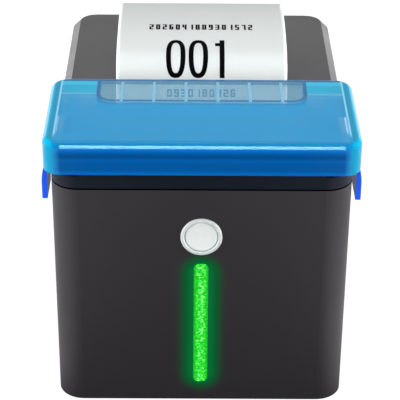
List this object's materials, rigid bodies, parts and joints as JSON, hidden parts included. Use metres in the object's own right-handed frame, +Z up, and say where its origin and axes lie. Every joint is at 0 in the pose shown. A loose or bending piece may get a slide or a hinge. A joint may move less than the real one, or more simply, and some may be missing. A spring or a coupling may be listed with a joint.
{
  "type": "ticket printer",
  "caption": "Counter-top thermal ticket printer with a drop-in paper roll under a hinged lid, a lit front bar, a push button and a clear clip-on splash hood.",
  "frame": {"origin": "centre of the footprint box, hood included, on the table under the feet", "axes": "+Z up; the front with the button looks along -Y; +X to the right as seen from the front"},
  "size_m": [0.1424, 0.178, 0.1501],
  "materials": {
    "charcoal_plastic": "fine spark-eroded grain",
    "black_plastic": "smooth moulded",
    "lid_plastic": "fine spark-eroded grain",
    "hood_plastic": "clear tinted, polished",
    "button_plastic": "satin",
    "light_plastic": "clear, lit from behind",
    "sheet_steel": "zinc plated",
    "bright_steel": "ground",
    "head_alloy": "milled",
    "head_ceramic": "glazed",
    "bush_bronze": "sintered",
    "gear_plastic": "moulded",
    "platen_rubber": "ground",
    "foot_rubber": "moulded",
    "circuit_board": "solder mask",
    "lamp_board": "white solder mask",
    "chip_lens": "moulded",
    "ticket_paper": "thermal coated",
    "core_card": "wound",
    "motor_case": "drawn"
  },
  "bodies": {
    "housing": {"body_shell": "charcoal_plastic", "base_pan": "black_plastic", "rubber_feet": "foot_rubber", "base_screws": "bright_steel", "cutter_cover": "black_plastic", "paper_bay": "black_plastic", "mechanism_frame": "sheet_steel", "head_pin": "bright_steel", "head_spring": "bright_steel", "feed_motor": "motor_case", "cutter_plate": "sheet_steel", "cutter_motor": "motor_case", "hinge_pin": "bright_steel", "main_board": "circuit_board", "power_inlet": "black_plastic", "usb_port": "sheet_steel", "network_port": "sheet_steel", "drawer_port": "black_plastic", "power_switch": "black_plastic", "button_ring": "button_plastic", "tact_switch": "black_plastic", "button_board": "circuit_board", "light_bar": "light_plastic", "light_board": "lamp_board", "light_chips": "chip_lens", "paper_sensor": "black_plastic", "paper_web": "ticket_paper"},
    "lid": {"paper_lid": "lid_plastic", "platen_holder": "black_plastic", "holder_screws": "bright_steel", "fixed_blade": "bright_steel", "platen_bushes": "bush_bronze"},
    "platen": {"platen_roller": "platen_rubber", "platen_shaft": "bright_steel", "platen_gear": "gear_plastic"},
    "idler": {"idler_gear": "gear_plastic"},
    "feed_drive": {"motor_pinion": "gear_plastic"},
    "head": {"head_plate": "head_alloy", "head_strip": "head_ceramic"},
    "cutter": {"cutter_blade": "bright_steel", "blade_carriage": "black_plastic"},
    "cutter_drive": {"cutter_pinion": "gear_plastic"},
    "release_key": {"lid_release": "black_plastic"},
    "rocker": {"power_rocker": "black_plastic"},
    "button": {"ticket_button": "button_plastic", "switch_plunger": "black_plastic"},
    "hood": {"splash_hood": "hood_plastic"},
    "printed_ticket": {"ticket": "ticket_paper"},
    "roll": {"paper_roll": "ticket_paper", "roll_core": "core_card"}
  },
  "joints": [
    {"name": "lid_hinge", "type": "hinge", "parent": "housing", "child": "lid", "pos_m": [0, 0.08435, 0.12035], "axis": [-1, 0, 0], "range_deg": [0, 80]},
    {"name": "roll_spin", "type": "hinge", "parent": "housing", "child": "roll", "pos_m": [0, 0.03699, 0.06631], "axis": [1, 0, 0], "continuous": true},
    {"name": "platen_spin", "type": "hinge", "parent": "lid", "child": "platen", "pos_m": [0, -0.01553, 0.10694], "axis": [1, 0, 0], "continuous": true},
    {"name": "idler_spin", "type": "hinge", "parent": "housing", "child": "idler", "pos_m": [0, -0.02641, 0.09878], "axis": [1, 0, 0], "continuous": true},
    {"name": "motor_spin", "type": "hinge", "parent": "housing", "child": "feed_drive", "pos_m": [0, -0.03729, 0.09062], "axis": [1, 0, 0], "continuous": true},
    {"name": "head_pivot", "type": "hinge", "parent": "housing", "child": "head", "pos_m": [0, -0.02221, 0.0848], "axis": [1, 0, 0], "range_deg": [0, 2], "stiffness_Nm_per_rad": 4, "springref_deg": -3.44, "deforming": ["head_spring"]},
    {"name": "cutter_slide", "type": "slide", "parent": "housing", "child": "cutter", "axis": [0, 1, 0], "range_m": [0, 0.004]},
    {"name": "cutter_spin", "type": "hinge", "parent": "housing", "child": "cutter_drive", "pos_m": [0.0244, -0.045, 0.115], "axis": [0, 0, 1], "range_deg": [0, 41]},
    {"name": "key_press", "type": "slide", "parent": "housing", "child": "release_key", "axis": [-1, 0, 0], "range_m": [0, 0.0025], "stiffness_N_per_m": 800, "springref_m": -0.002},
    {"name": "rocker_tilt", "type": "hinge", "parent": "housing", "child": "rocker", "pos_m": [-0.0455, 0.0845, 0.027], "axis": [1, 0, 0], "range_deg": [-8, 8]},
    {"name": "button_press", "type": "slide", "parent": "housing", "child": "button", "axis": [0, 1, 0], "range_m": [0, 0.0012], "stiffness_N_per_m": 1200, "springref_m": -0.0005},
    {"name": "hood_lift", "type": "slide", "parent": "housing", "child": "hood", "axis": [0, 0, 1], "range_m": [0, 0.06]},
    {"name": "ticket_pull", "type": "slide", "parent": "lid", "child": "printed_ticket", "axis": [0, 0.0872, 0.9962], "range_m": [0, 0.06]}
  ],
  "couplings": [
    {"joint": "platen_spin", "follows": "roll_spin", "ratio": 5.8483},
    {"joint": "idler_spin", "follows": "roll_spin", "ratio": -4.0938},
    {"joint": "motor_spin", "follows": "roll_spin", "ratio": 5.8483},
    {"joint": "cutter_spin", "follows": "cutter_slide", "rad_per_m": 178.57}
  ]
}
